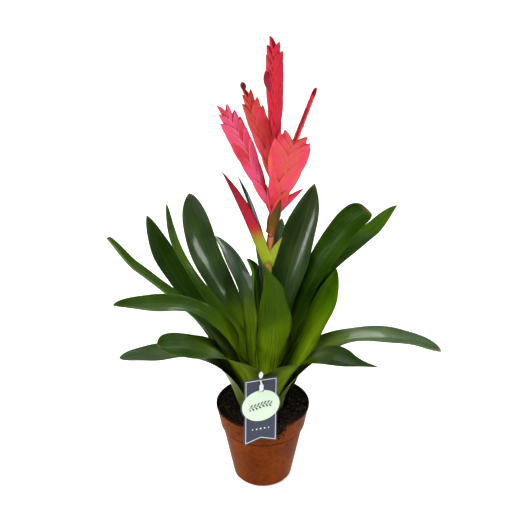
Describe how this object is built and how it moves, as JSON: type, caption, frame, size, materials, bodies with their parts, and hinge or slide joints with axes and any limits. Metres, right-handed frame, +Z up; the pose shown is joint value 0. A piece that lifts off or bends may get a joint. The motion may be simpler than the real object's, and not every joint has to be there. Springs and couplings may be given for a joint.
{
  "type": "potted bromeliad",
  "caption": "Rosette plant with strap leaves and flat upright flower spikes of folded bracts, in a tapered nursery pot with a collar and a care card on a stake.",
  "frame": {"origin": "centre of the underside of the pot's foot, on the surface that it stands on", "axes": "+Z up along the pot's axis, -Y towards the viewer of the card, +X to that viewer's right"},
  "size_m": [0.4109, 0.2493, 0.5667],
  "materials": {
    "terracotta_plastic": "terracotta brown thin plastic, satin, stained with compost",
    "compost": "dark, loose and crumbly, matt",
    "crown": "pale green plant tissue, satin",
    "card": "slate blue printed card of thin plastic, satin",
    "stake": "white plastic strip, semi-gloss",
    "leaf": "dark green leaf, glossy above",
    "flower_stem": "orange brown stem, satin",
    "bract": "crimson pink bract with an orange keel, semi-gloss"
  },
  "bodies": {
    "root": {"pot": "terracotta_plastic", "compost": "compost", "crown": "crown", "care_card": "card", "card_stake": "stake", "leaf_01": "leaf", "leaf_02": "leaf", "leaf_03": "leaf", "leaf_04": "leaf", "leaf_05": "leaf", "leaf_06": "leaf", "leaf_07": "leaf", "leaf_08": "leaf", "leaf_09": "leaf", "leaf_10": "leaf", "leaf_11": "leaf", "leaf_12": "leaf", "leaf_13": "leaf", "leaf_14": "leaf", "leaf_15": "leaf", "leaf_16": "leaf", "leaf_17": "leaf", "leaf_18": "leaf", "leaf_19": "leaf", "leaf_20": "leaf", "leaf_21": "leaf", "leaf_22": "leaf", "leaf_23": "leaf", "flower_stem": "flower_stem", "spike_1": "bract", "spike_2": "bract", "spike_3": "bract", "spike_4": "bract", "spike_5": "bract"}
  },
  "joints": []
}
